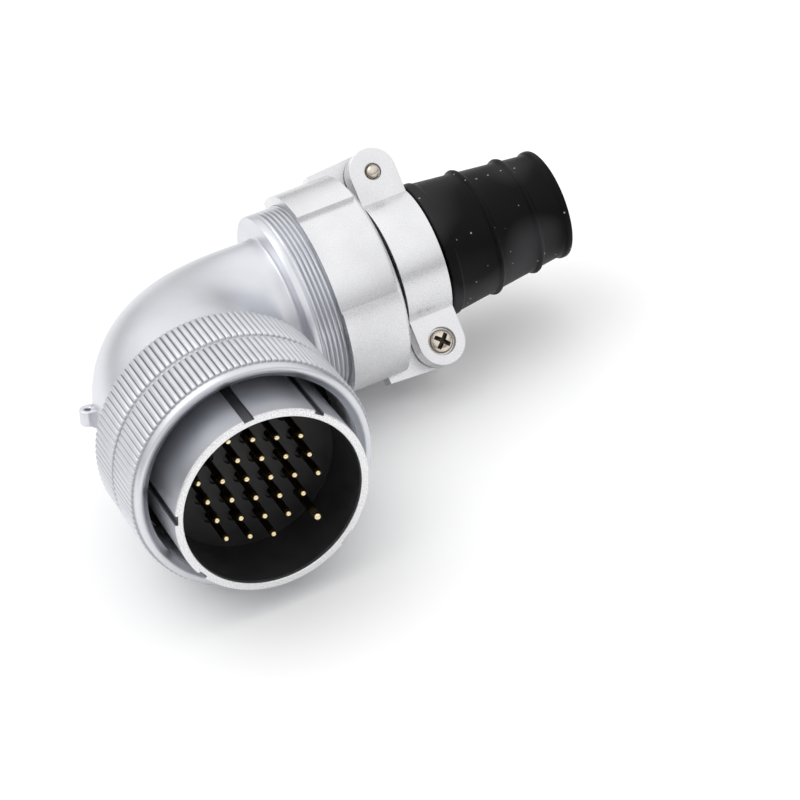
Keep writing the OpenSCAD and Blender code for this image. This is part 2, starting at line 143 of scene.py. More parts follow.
def paintGrooveShade(tree, coords, tint, groove):
    # painted shade: the grooves' bottoms are darkened and their crests left bright
    low, high = groove["bottom"] * mm, groove["top"] * mm
    share = addNode(tree, "ShaderNodeMapRange", {"From Min": 2 * low - high, "From Max": high},
                    {"Value": axisDistance(tree, coords, groove["axis"])})
    dark = grey(groove["dark"])
    depth = addNode(tree, "ShaderNodeValToRGB",
                    {"stops": [(0.2, grey(1)), (0.42, dark), (0.6, dark), (1.0, grey(1))]},
                    {"Fac": share.outputs["Result"]})
    along = addNode(tree, "ShaderNodeSeparateXYZ", links={"Vector": coords})
    start = groove["start"] * mm
    begun = addNode(tree, "ShaderNodeMapRange",
                    {"From Min": start - 0.1 * mm, "From Max": start},
                    {"Value": along.outputs["X"]})
    grooveShaded = addNode(tree, "ShaderNodeMix", {"data_type": "RGBA", "blend_type": "MULTIPLY"},
                   {"Factor": begun.outputs["Result"], "A": tint, "B": depth.outputs["Color"]})
    return grooveShaded.outputs["Result"]


def paintRimHighlight(tree, coords, tint, highlightBand):
    # a painted highlight on the barrel's lip, with short scratches of real wear in it
    along = addNode(tree, "ShaderNodeSeparateXYZ", links={"Vector": coords})
    near = addNode(tree, "ShaderNodeMapRange",
                   {"From Min": highlightBand["from"] * mm, "From Max": highlightBand["to"] * mm,
                    "To Min": 1.0, "To Max": 0.0}, {"Value": along.outputs["Y"]})
    scratch = addNode(tree, "ShaderNodeTexNoise",
                      {"Scale": perMetre(highlightBand["scratch"]), "Detail": 2.0}, {"Vector": coords})
    scratchedHighlight = addNode(tree, "ShaderNodeValToRGB",
                   {"stops": [(0.4, toLinear(highlightBand["dull"])), (0.6, toLinear(highlightBand["bright"]))]},
                   {"Fac": scratch.outputs["Fac"]})
    paintedSheen = addNode(tree, "ShaderNodeMix", {"data_type": "RGBA"},
                     {"Factor": near.outputs["Result"], "A": tint, "B": scratchedHighlight.outputs["Color"]})
    return paintedSheen.outputs["Result"]


def castZinc(name, look, groove=None, highlightBand=None):
    # satin nickel over die-cast zinc: a pearly grey with the fine orange peel of the casting,
    # drawn coarser than it is so that it shows
    material, tree, shader = newMaterial(name, {"Metallic": 0.92})
    coords = addNode(tree, "ShaderNodeTexCoord").outputs["Object"]
    cloud = addNode(tree, "ShaderNodeTexNoise",
                    {"Scale": perMetre(look["cloud"]), "Detail": 3.0}, {"Vector": coords})
    grain = addNode(tree, "ShaderNodeTexNoise",
                    {"Scale": perMetre(look["grain"]), "Detail": 2.0}, {"Vector": coords})
    tint = addNode(tree, "ShaderNodeValToRGB",
                   {"stops": [(0.35, toLinear(look["shade"])), (0.65, toLinear(look["colour"]))]},
                   {"Fac": cloud.outputs["Fac"]}).outputs["Color"]
    smooth, rough = look["roughness"]
    gloss = addNode(tree, "ShaderNodeValToRGB",
                    {"stops": [(0.3, grey(smooth)), (0.7, grey(rough))]},
                    {"Fac": grain.outputs["Fac"]})
    # painted shade in the grooves
    if groove:
        tint = paintGrooveShade(tree, coords, tint, groove)
    # a painted highlight on the lip, with real scratches in it
    if highlightBand:
        tint = paintRimHighlight(tree, coords, tint, highlightBand)
    relief = addNode(tree, "ShaderNodeBump", {"Strength": look["relief"], "Distance": 0.02 * mm},
                     {"Height": grain.outputs["Fac"]})
    connect(tree, shader, {"Base Color": tint, "Roughness": gloss.outputs["Color"],
                           "Normal": relief.outputs["Normal"]})
    return material


def springSteel():
    # rolled and punched spring steel: mid grey, with fine scratches in every direction
    material, tree, shader = newMaterial("springSteel", {"Metallic": 1.0})
    coords = addNode(tree, "ShaderNodeTexCoord").outputs["Object"]
    scratch = addNode(tree, "ShaderNodeTexNoise", {"Scale": perMetre(0.4), "Detail": 2.0},
                      {"Vector": coords})
    tint = addNode(tree, "ShaderNodeValToRGB",
                   {"stops": [(0.3, toLinear("#8E8F92")), (0.7, toLinear("#A5A6A8"))]},
                   {"Fac": scratch.outputs["Fac"]})
    gloss = addNode(tree, "ShaderNodeValToRGB", {"stops": [(0.3, grey(0.28)), (0.7, grey(0.42))]},
                    {"Fac": scratch.outputs["Fac"]})
    connect(tree, shader, {"Base Color": tint.outputs["Color"],
                           "Roughness": gloss.outputs["Color"]})
    return material


# sizes in millimetres: the clouds of painted sheen, the spacing of the dust and the mould's fine
# grain
rubberLook = {"sheenClouds": 18.2, "dust": 3.03, "grain": 0.556, "black": "#060607",
              "paintedSheen": "#3C3C3E", "speck": "#9A9A9C", "dusty": 0.35}


def bootRubber(look):
    # moulded chloroprene: near black, half matt, with pale clouds of painted sheen and a little
    # pale dust
    material, tree, shader = newMaterial("bootRubber", {"IOR": 1.5, "Specular IOR Level": 0.1})
    coords = addNode(tree, "ShaderNodeTexCoord").outputs["Object"]
    sheenClouds = addNode(tree, "ShaderNodeTexNoise", {"Scale": perMetre(look["sheenClouds"]), "Detail": 0.5},
                    {"Vector": coords})
    dust = addNode(tree, "ShaderNodeTexVoronoi",
                   {"Scale": perMetre(look["dust"]), "Randomness": 1.0}, {"Vector": coords})
    speck = addNode(tree, "ShaderNodeValToRGB", {"stops": [(0.05, grey(1)), (0.085, grey(0))]},
                    {"Fac": dust.outputs["Distance"]})
    pick = addNode(tree, "ShaderNodeSeparateColor", links={"Color": dust.outputs["Color"]})
    chosen = addNode(tree, "ShaderNodeMath", {"operation": "GREATER_THAN", 1: look["dusty"]},
                     {0: pick.outputs[0]})
    dusty = addNode(tree, "ShaderNodeMath", {"operation": "MULTIPLY"},
                    {0: speck.outputs["Color"], 1: chosen.outputs[0]})
    # painted sheen: pale clouds mixed into the black
    base = addNode(tree, "ShaderNodeValToRGB",
                   {"stops": [(0.45, toLinear(look["black"])), (0.75, toLinear(look["paintedSheen"]))]},
                   {"Fac": sheenClouds.outputs["Fac"]})
    tint = addNode(tree, "ShaderNodeMix", {"data_type": "RGBA", "B": toLinear(look["speck"])},
                   {"Factor": dusty.outputs[0], "A": base.outputs["Color"]})
    gloss = addNode(tree, "ShaderNodeValToRGB", {"stops": [(0.3, grey(0.38)), (0.7, grey(0.55))]},
                    {"Fac": sheenClouds.outputs["Fac"]})
    fine = addNode(tree, "ShaderNodeTexNoise", {"Scale": perMetre(look["grain"]), "Detail": 2.0},
                   {"Vector": coords})
    relief = addNode(tree, "ShaderNodeBump", {"Strength": 0.25, "Distance": 0.03 * mm},
                     {"Height": fine.outputs["Fac"]})
    connect(tree, shader, {"Base Color": tint.outputs["Result"],
                           "Roughness": gloss.outputs["Color"],
                           "Normal": relief.outputs["Normal"]})
    return material


def insertPlastic():
    # glass-filled thermoset moulding: charcoal, matt, very finely grained
    material, tree, shader = newMaterial("insertPlastic", {"IOR": 1.5})
    coords = addNode(tree, "ShaderNodeTexCoord").outputs["Object"]
    flow = addNode(tree, "ShaderNodeTexNoise", {"Scale": perMetre(4.55), "Detail": 4.0},
                   {"Vector": coords})
    tint = addNode(tree, "ShaderNodeValToRGB",
                   {"stops": [(0.35, toLinear("#1C1C1E")), (0.7, toLinear("#262628"))]},
                   {"Fac": flow.outputs["Fac"]})
    gloss = addNode(tree, "ShaderNodeValToRGB", {"stops": [(0.3, grey(0.42)), (0.7, grey(0.58))]},
                    {"Fac": flow.outputs["Fac"]})
    fine = addNode(tree, "ShaderNodeTexNoise", {"Scale": perMetre(0.333)}, {"Vector": coords})
    relief = addNode(tree, "ShaderNodeBump", {"Strength": 0.2, "Distance": 0.02 * mm},
                     {"Height": fine.outputs["Fac"]})
    connect(tree, shader, {"Base Color": tint.outputs["Color"],
                           "Roughness": gloss.outputs["Color"],
                           "Normal": relief.outputs["Normal"]})
    return material


def contactGold():
    # gold flash on the contacts: pale and bright at the tip, and darkened along the pin with
    # painted shade
    material, tree, shader = newMaterial("contactGold", {"Metallic": 1.0, "Roughness": 0.2})
    coords = addNode(tree, "ShaderNodeTexCoord").outputs["Object"]
    along = addNode(tree, "ShaderNodeSeparateXYZ", links={"Vector": coords})
    # painted shade: darker with the distance from the tip, down into the insert
    share = addNode(tree, "ShaderNodeMapRange", {"From Min": 5.2 * mm, "From Max": 7.4 * mm},
                    {"Value": along.outputs["Y"]})
    tint = addNode(tree, "ShaderNodeValToRGB",
                   {"stops": [(0.0, toLinear("#F6E7BE")), (0.3, toLinear("#D9BA78")),
                              (0.8, toLinear("#5A4A30"))]}, {"Fac": share.outputs["Result"]})
    connect(tree, shader, {"Base Color": tint.outputs["Color"]})
    return material


def screwNickel():
    # bright nickel on a turned steel screw: a warm white, with faint clouding
    material, tree, shader = newMaterial("screwNickel", {"Metallic": 1.0})
    coords = addNode(tree, "ShaderNodeTexCoord").outputs["Object"]
    cloud = addNode(tree, "ShaderNodeTexNoise", {"Scale": perMetre(1.11), "Detail": 3.0},
                    {"Vector": coords})
    tint = addNode(tree, "ShaderNodeValToRGB",
                   {"stops": [(0.3, toLinear("#C4B9AB")), (0.7, toLinear("#D9D0C4"))]},
                   {"Fac": cloud.outputs["Fac"]})
    gloss = addNode(tree, "ShaderNodeValToRGB", {"stops": [(0.3, grey(0.14)), (0.7, grey(0.24))]},
                    {"Fac": cloud.outputs["Fac"]})
    connect(tree, shader, {"Base Color": tint.outputs["Color"],
                           "Roughness": gloss.outputs["Color"]})
    return material


knurlZinc = castZinc("knurlZinc", platedZinc, knurlGrooveShade)
barrelZinc = castZinc("barrelZinc", shadedShellZinc, keywayGrooveShade, lipHighlight)
elbowZinc = castZinc("elbowZinc", platedZinc)
threadZinc = castZinc("threadZinc", platedZinc, threadGrooveShade)
sparkleZinc = castZinc("sparkleZinc", brightZinc)
steel = springSteel()
rubber = bootRubber(rubberLook)
plastic = insertPlastic()
gold = contactGold()
nickel = screwNickel()
# painted shade in a screw's recess: dull dark brown over the nickel
paintedRecessShade = newMaterial("paintedRecessShade", {"Base Color": toLinear("#3A322B"), "Metallic": 0.6,
                                        "Roughness": 0.5})[0]
print("materials made")


def plugPoint(radius, turn, back):
    return Vector((radius * math.cos(turn), back, -radius * math.sin(turn)))


def cablePoint(radius, turn, out):
    return Vector((out, cableBack - radius * math.cos(turn), radius * math.sin(turn)))


def smoothMesh(mesh, sharp):
    mesh.shade_smooth()
    mesh.set_sharp_from_angle(angle=math.radians(sharp))


def meshObject(name, points, faces, material, sharp=35):
    mesh = bpy.data.meshes.new(name)
    mesh.from_pydata([tuple(p) for p in points], [], faces)
    work = bmesh.new()
    work.from_mesh(mesh)
    bmesh.ops.remove_doubles(work, verts=work.verts, dist=0.0005 * mm)
    bmesh.ops.dissolve_degenerate(work, edges=work.edges, dist=0.0002 * mm)
    bmesh.ops.recalc_face_normals(work, faces=work.faces)
    work.to_mesh(mesh)
    work.free()
    mesh.materials.append(material)
    smoothMesh(mesh, sharp)
    piece = bpy.data.objects.new(name, mesh)
    bpy.context.scene.collection.objects.link(piece)
    return piece


def skin(rows, closed=True):
    # quads between rows of equal length; each row is a closed loop
    count = len(rows[0])
    pairs = len(rows) if closed else len(rows) - 1
    points = [point for row in rows for point in row]
    faces = []
    for k in range(pairs):
        a, b = k * count, (k + 1) % len(rows) * count
        for i in range(count):
            j = (i + 1) % count
            faces.append((a + i, a + j, b + j, b + i))
    return points, faces


def lathe(name, outline, point, material, turns=144, sharp=35):
    # outline: (radius, distance along the axis) in millimetres, as a closed loop
    rows = []
    for radius, along in outline:
        rows.append([point(radius * mm, 2 * math.pi * i / turns, along * mm)
                     for i in range(turns)])
    points, faces = skin(rows)
    return meshObject(name, points, faces, material, sharp)


def arc(centre, radius, start, end, steps=5):
    cx, cy = centre
    angles = [math.radians(start + (end - start) * i / steps) for i in range(steps + 1)]
    return [(cx + radius * math.cos(a), cy + radius * math.sin(a)) for a in angles]


def plainMesh(piece):
    # the evaluated result takes the object's place, and its modifiers go
    graph = bpy.context.evaluated_depsgraph_get()
    mesh = bpy.data.meshes.new_from_object(piece.evaluated_get(graph))
    piece.modifiers.clear()
    piece.data = mesh
    return piece


def softenedCopy(node, name, material, width, segments=2, sharp=40):
    # a merged copy of a CAD node with its hard edges rounded
    mesh = frame["nodes"][node].data.copy()
    mesh.name = name
    mesh.materials.clear()
    mesh.materials.append(material)
    work = bmesh.new()
    work.from_mesh(mesh)
    bmesh.ops.remove_doubles(work, verts=work.verts, dist=0.001 * mm)
    bmesh.ops.dissolve_limit(work, angle_limit=math.radians(0.5), verts=work.verts,
                             edges=work.edges)
    work.to_mesh(mesh)
    work.free()
    piece = bpy.data.objects.new(name, mesh)
    bpy.context.scene.collection.objects.link(piece)
    bevel = piece.modifiers.new("edge", "BEVEL")
    bevel.width = width * mm
    bevel.segments = segments
    bevel.limit_method = "ANGLE"
    bevel.angle_limit = math.radians(sharp)
    bevel.use_clamp_overlap = True
    level = piece.modifiers.new("level", "WEIGHTED_NORMAL")
    level.weight = 100
    level.keep_sharp = True
    smoothMesh(mesh, 60)
    bpy.context.view_layer.update()
    plainMesh(piece)
    return piece


def mount(piece, body, nodes):
    # the piece moves with its body and stands for its CAD nodes
    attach(piece, body)
    if nodes:
        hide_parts(*nodes)
    return piece


cameraSettings = {"lens": 112.5, "sensor": 36, "place": (-103.1, -392.5, 301.7),
                  "ahead": (0.2641, 0.7756, -0.5733), "up": (0.3658, 0.4694, 0.8036)}


def makeCamera(s):
    # a long lens, above the mating end and to its left
    camera = bpy.data.objects.new("camera", bpy.data.cameras.new("camera"))
    bpy.context.scene.collection.objects.link(camera)
    camera.data.lens = s["lens"]
    camera.data.sensor_width = s["sensor"]
    camera.data.clip_start = 0.01
    camera.data.clip_end = 20
    ahead = Vector(s["ahead"]).normalized()
    side = ahead.cross(Vector(s["up"])).normalized()
    turned = Matrix((side, side.cross(ahead), -ahead)).transposed().to_4x4()
    camera.matrix_world = Matrix.Translation(Vector(s["place"]) * mm) @ turned
    bpy.context.scene.camera = camera


stageSettings = {"colour": "#FBFBFB", "halfSize": 3.0, "gap": 0.02}


def makeStage(s):
    # a pale floor that looks white and keeps the object's shadow
    floorMesh = bpy.data.meshes.new("floor")
    half = s["halfSize"]
    level = cadLow.z - s["gap"] * mm
    corners = [(-half, -half, level), (half, -half, level), (half, half, level),
               (-half, half, level)]
    floorMesh.from_pydata(corners, [], [(0, 1, 2, 3)])
    floorMesh.materials.append(newMaterial("paleFloor", {
        "Base Color": toLinear(s["colour"]), "Roughness": 0.9, "Specular IOR Level": 0.0})[0])
    floor = bpy.data.objects.new("floor", floorMesh)
    bpy.context.scene.collection.objects.link(floor)


# sky: brightness at each height above the horizon; lamp: its place, in metres; power in watts
lightSettings = {
    "sky": [(0.0, 0.22), (0.12, 0.42), (0.34, 0.84), (0.6, 0.97), (1.0, 1.0)], "strength": 1.18,
    "lamp": (-0.3, 0.3, 0.8), "target": (0.02, 0.04, 0), "width": 0.7, "power": 1.4,
}


def makeLight(s):
    # a pale room, darker at the horizon, so that metal has something to reflect
    world = bpy.data.worlds.new("studio")
    bpy.context.scene.world = world
    world.use_nodes = True
    tree = world.node_tree
    way = addNode(tree, "ShaderNodeTexCoord").outputs["Generated"]
    parts = addNode(tree, "ShaderNodeSeparateXYZ", links={"Vector": way})
    sky = addNode(tree, "ShaderNodeValToRGB",
                  {"stops": [(height, grey(bright)) for height, bright in s["sky"]]},
                  {"Fac": parts.outputs["Z"]})
    background = tree.nodes["Background"]
    tree.links.new(sky.outputs["Color"], background.inputs["Color"])
    background.inputs["Strength"].default_value = s["strength"]
    # one large soft lamp from above and behind
    data = bpy.data.lights.new("keyLamp", "AREA")
    data.size = s["width"]
    data.energy = s["power"]
    lamp = bpy.data.objects.new("keyLamp", data)
    bpy.context.scene.collection.objects.link(lamp)
    aim = (Vector(s["target"]) - Vector(s["lamp"])).to_track_quat("-Z", "Y")
    lamp.matrix_world = Matrix.Translation(s["lamp"]) @ aim.to_matrix().to_4x4()


makeCamera(cameraSettings)
makeStage(stageSettings)
makeLight(lightSettings)
bpy.context.scene.view_settings.view_transform = "Standard"
print("stage, lamp and camera made")


# lip: radius of the plain lip; waist: place of the middle groove; the thread's turns are
# rings; the web runs behind the shell's flange, and the relief lies in front of it
ringSettings = {
    "radius": 26.8, "front": 9.25, "back": 33.75, "flutes": 120, "valley": 0.5, "lip": 26.0,
    "waist": 22.05, "shares": (0, 0.06, 0.16, 0.32, 0.5, 0.68, 0.84, 0.94, 1),
    "thread": 24.0, "threadPitch": 1.5, "threadDepth": 0.7, "threadTurns": 8,
    "relief": 23.9, "reliefFrom": 23.0, "webBore": 21.88, "webFrom": 27.1, "webTo": 30.0,
    "rearBore": 24.2,
}


def ringProfile(s):
    # (radius, distance, share of the flutes' depth) round the section of the ring
    front, back, lip, crest, waist = s["front"], s["back"], s["lip"], s["radius"], s["waist"]
    pitch, depth, root = s["threadPitch"], s["threadDepth"], s["thread"]
    core = crest - s["valley"] - 0.15
    bands = [(front + 2.3, waist - 0.95), (waist + 0.95, back - 1.35)]
    outer = [
        (root + 0.9, front, 0), (root + 1.3, front, 0), (lip - 0.55, front + 0.03, 0),
        (lip - 0.3, front + 0.12, 0), (lip - 0.1, front + 0.32, 0), (lip, front + 0.6, 0),
        (lip + 0.05, front + 1.2, 0), (core, front + 1.5, 0), (core + 0.02, front + 1.6, 0),
        (crest - 0.25, front + 1.75, 1), (crest - 0.08, front + 1.95, 1),
    ]
    outer += [(crest, bands[0][0] + (bands[0][1] - bands[0][0]) * i / 3, 1) for i in range(4)]
    outer += [
        (crest - 0.1, waist - 0.6, 1), (crest - 0.35, waist - 0.4, 1),
        (core + 0.02, waist - 0.22, 0), (core - 0.05, waist, 0), (core + 0.02, waist + 0.22, 0),
        (crest - 0.35, waist + 0.4, 1), (crest - 0.1, waist + 0.6, 1),
    ]
    outer += [(crest, bands[1][0] + (bands[1][1] - bands[1][0]) * i / 3, 1) for i in range(4)]
    outer += [
        (crest - 0.12, back - 1.0, 1), (crest - 0.35, back - 0.8, 1), (core, back - 0.7, 0),
        (core - 0.15, back - 0.3, 0), (core - 0.45, back - 0.08, 0), (core - 0.8, back, 0),
    ]
    bore, web = s["rearBore"], s["webBore"]
    inner = [(bore + 0.05, back, 0), (bore, back - 0.1, 0), (bore, s["webTo"], 0),
             (web + 0.02, s["webTo"], 0), (web, s["webTo"] - 0.1, 0),
             (web, s["webFrom"] + 0.1, 0), (web + 0.07, s["webFrom"], 0),
             (s["relief"], s["webFrom"], 0), (s["relief"], s["reliefFrom"], 0)]
    for i in reversed(range(s["threadTurns"])):
        start = front + 1.2 + i * pitch
        inner += [(root - depth, start + 0.97 * pitch, 0), (root - 0.05, start + 0.65 * pitch, 0),
                  (root - 0.05, start + 0.45 * pitch, 0), (root - depth, start + 0.1 * pitch, 0)]
    inner += [(root - depth, front + 1.1, 0), (root + 0.3, front + 0.35, 0),
              (root + 0.5, front + 0.1, 0)]
    return outer + inner


def fluteHeight(share):
    # height of the knurl over one flute: a sharp valley and a rounded crest
    return abs(math.sin(math.pi * share)) ** 0.5


def newTree(name, inputs):
    tree = bpy.data.node_groups.new(name, "GeometryNodeTree")
    for label, kind in inputs.items():
        tree.interface.new_socket(label, in_out="INPUT", socket_type=kind)
    tree.interface.new_socket("Geometry", in_out="OUTPUT", socket_type="NodeSocketGeometry")
    return tree


def applyTree(piece, tree, values):
    # the tree's result becomes the piece's plain mesh
    modifier = piece.modifiers.new("repeat", "NODES")
    modifier.node_group = tree
    for item in tree.interface.items_tree:
        if item.in_out == "INPUT" and item.name in values:
            modifier[item.identifier] = values[item.name]
    bpy.context.view_layer.update()
    plainMesh(piece)


def makeCouplingRing(s):
    # one flute's sector, from valley to valley
    step = 2 * math.pi / s["flutes"]
    floor = s["radius"] - s["valley"]
    rows = []
    for radius, along, knurl in ringProfile(s):
        row = []
        for share in s["shares"]:
            drop = min(s["valley"] * (1 - fluteHeight(share)), max(0.0, radius - floor)) * knurl
            row.append(plugPoint((radius - drop) * mm, step * share, along * mm))
        rows.append(row)
    count = len(s["shares"])
    points = [point for row in rows for point in row]
    faces = []
    for k in range(len(rows)):
        a, b = k * count, (k + 1) % len(rows) * count
        faces += [(a + i, a + i + 1, b + i + 1, b + i) for i in range(count - 1)]
    sector = meshObject("fluteSector", points, faces, knurlZinc)
    return repeatRound("couplingRing", sector, s["flutes"], knurlZinc)


def repeatRound(name, sector, count, material):
    # Geometry Nodes: copies of one sector turned round the plug's axis, merged into one skin
    tree = newTree(name + "Tree", {"Sector": "NodeSocketObject", "Count": "NodeSocketInt"})
    given = addNode(tree, "NodeGroupInput")
    points = addNode(tree, "GeometryNodePoints", links={"Count": given.outputs["Count"]})
    number = addNode(tree, "GeometryNodeInputIndex")
    share = addNode(tree, "ShaderNodeMath", {"operation": "DIVIDE"},
                    {0: number.outputs[0], 1: given.outputs["Count"]})
    angle = addNode(tree, "ShaderNodeMath", {"operation": "MULTIPLY", 1: 2 * math.pi},
                    {0: share.outputs[0]})
    turns = addNode(tree, "ShaderNodeCombineXYZ", links={"Y": angle.outputs[0]})
    part = addNode(tree, "GeometryNodeObjectInfo", links={"Object": given.outputs["Sector"]})
    copies = addNode(tree, "GeometryNodeInstanceOnPoints",
                     links={"Points": points.outputs[0], "Instance": part.outputs["Geometry"],
                            "Rotation": turns.outputs[0]})
    real = addNode(tree, "GeometryNodeRealizeInstances", links={"Geometry": copies.outputs[0]})
    joined = addNode(tree, "GeometryNodeMergeByDistance", {"Distance": 0.002 * mm},
                     {"Geometry": real.outputs[0]})
    dressed = addNode(tree, "GeometryNodeSetMaterial", {"Material": material},
                      {"Geometry": joined.outputs[0]})
    addNode(tree, "NodeGroupOutput", links={"Geometry": dressed.outputs[0]})
    piece = bpy.data.objects.new(name, bpy.data.meshes.new(name))
    bpy.context.scene.collection.objects.link(piece)
    applyTree(piece, tree, {"Sector": sector, "Count": count})
    bpy.data.objects.remove(sector)
    work = bmesh.new()
    work.from_mesh(piece.data)
    bmesh.ops.recalc_face_normals(work, faces=work.faces)
    work.to_mesh(piece.data)
    work.free()
    smoothMesh(piece.data, 38)
    return piece


mount(makeCouplingRing(ringSettings), "coupling", ["coupling_ring"])
print("coupling ring made")

mount(softenedCopy("plug_shell", "plugShell", barrelZinc, 0.12), "housing", ["plug_shell"])
mount(softenedCopy("insulator_front", "insertFace", plastic, 0.08, 1), "housing",
      ["insulator_front"])

# rows: (row, how many contacts stand in it); face: the insert's front; end: where the solder
# cup starts; the collar's and the cup's radii are added to the pin's
contactSettings = {
    "pitch": 5.33, "turn": 50, "radius": 0.75, "stand": 9.55, "face": 14.75,
    "rows": [(2, 4), (1, 5), (0, 6), (-1, 5), (-2, 4)], "end": 27.4, "collar": 0.35,
    "collarFrom": 6.9, "collarTo": 5.8, "cup": 0.25, "cupLength": 4.6, "cupHole": -0.1,
    "cupFloor": 0.8,
}


def contactPlaces(s):
    step = s["pitch"] * math.sqrt(3) / 2
    places = [((i - (count - 1) / 2) * s["pitch"], row * step)
              for row, count in s["rows"] for i in range(count)]
    # the last row has two contacts, with the middle place free
    return places + [(-s["pitch"], -3 * step), (s["pitch"], -3 * step)]


def contactOutline(s):
    radius, end, tip = s["radius"], s["end"], s["face"] - s["stand"]
    nose = [math.radians(d) for d in (18, 36, 54, 72, 90)]
    cupEnd = end + s["cupLength"]
    return ([(0.0, tip)]
            + [(radius * math.sin(a), tip + radius * (1 - math.cos(a))) for a in nose]
            + [(radius, end - s["collarFrom"]), (radius + s["collar"], end - s["collarFrom"]),
               (radius + s["collar"], end - s["collarTo"]), (radius, end - s["collarTo"]),
               (radius, end), (radius + s["cup"], end), (radius + s["cup"], cupEnd),
               (radius + s["cupHole"], cupEnd), (radius + s["cupHole"], end + s["cupFloor"]),
               (0.0, end + s["cupFloor"])])


def makeSignalPins(s):
    # Geometry Nodes: one turned pin at each place of the insert's grid
    pin = lathe("pin", contactOutline(s), plugPoint, gold, 20, 50)
    ahead = math.radians(s["turn"] - 90)
    grid = bpy.data.meshes.new("contactGrid")
    grid.from_pydata([tuple(plugPoint(math.hypot(x, y) * mm, math.atan2(y, x) + ahead, 0))
                      for x, y in contactPlaces(s)], [], [])
    piece = bpy.data.objects.new("signalPins", grid)
    bpy.context.scene.collection.objects.link(piece)
    tree = newTree("signalPinsTree", {"Places": "NodeSocketGeometry", "Pin": "NodeSocketObject"})
    given = addNode(tree, "NodeGroupInput")
    part = addNode(tree, "GeometryNodeObjectInfo", links={"Object": given.outputs["Pin"]})
    copies = addNode(tree, "GeometryNodeInstanceOnPoints",
                     links={"Points": given.outputs["Places"],
                            "Instance": part.outputs["Geometry"]})
    real = addNode(tree, "GeometryNodeRealizeInstances", links={"Geometry": copies.outputs[0]})
    dressed = addNode(tree, "GeometryNodeSetMaterial", {"Material": gold},
                      {"Geometry": real.outputs[0]})
    addNode(tree, "NodeGroupOutput", links={"Geometry": dressed.outputs[0]})
    applyTree(piece, tree, {"Pin": pin})
    bpy.data.objects.remove(pin)
    smoothMesh(piece.data, 50)
    return piece


mount(makeSignalPins(contactSettings), "housing", ["signal_pins"])
print("shell, insert and contacts made")


# along the centre line the casting narrows between the two places of taper; tail, step and
# chamber shape the seat for the shell
elbowSettings = {
    "base": 22.5, "outlet": 16.9, "bend": 25.0, "start": 34.05, "taper": (8.0, 48.0),
    "collar": 28.3, "thread": 22.0, "pitch": 1.05, "depth": 0.62, "end": 43.5, "wall": 2.5,
    "threadFrom": 30.1, "around": 180, "tail": 20.93, "step": 40.5, "chamber": 18.6,
    "fillet": 0.6,
}


def smoothStep(k):
    k = min(max(k, 0.0), 1.0)
    return k * k * (3 - 2 * k)


def elbowRadius(s, along):
    low, high = s["taper"]
    return s["base"] - (s["base"] - s["outlet"]) * smoothStep((along - low) / (high - low))


def elbowRow(s, along, radius):
    # along: millimetres of centre line from the base
    back = cableBack / mm
    straight = back - s["bend"] - s["start"]
    bend = s["bend"] * math.pi / 2
    if along < straight:
        cx, cy, a = 0.0, s["start"] + along, 0.0
    elif along < straight + bend:
        a = (along - straight) / s["bend"]
        cx = s["bend"] * (1 - math.cos(a))
        cy = back - s["bend"] + s["bend"] * math.sin(a)
    else:
        cx, cy, a = s["bend"] + along - straight - bend, back, math.pi / 2
    row = []
    for i in range(s["around"]):
        t = 2 * math.pi * i / s["around"]
        r = radius(t, cx) if callable(radius) else radius
        row.append(Vector((cx + r * math.cos(t) * math.cos(a),
                           cy - r * math.cos(t) * math.sin(a), r * math.sin(t))) * mm)
    return row


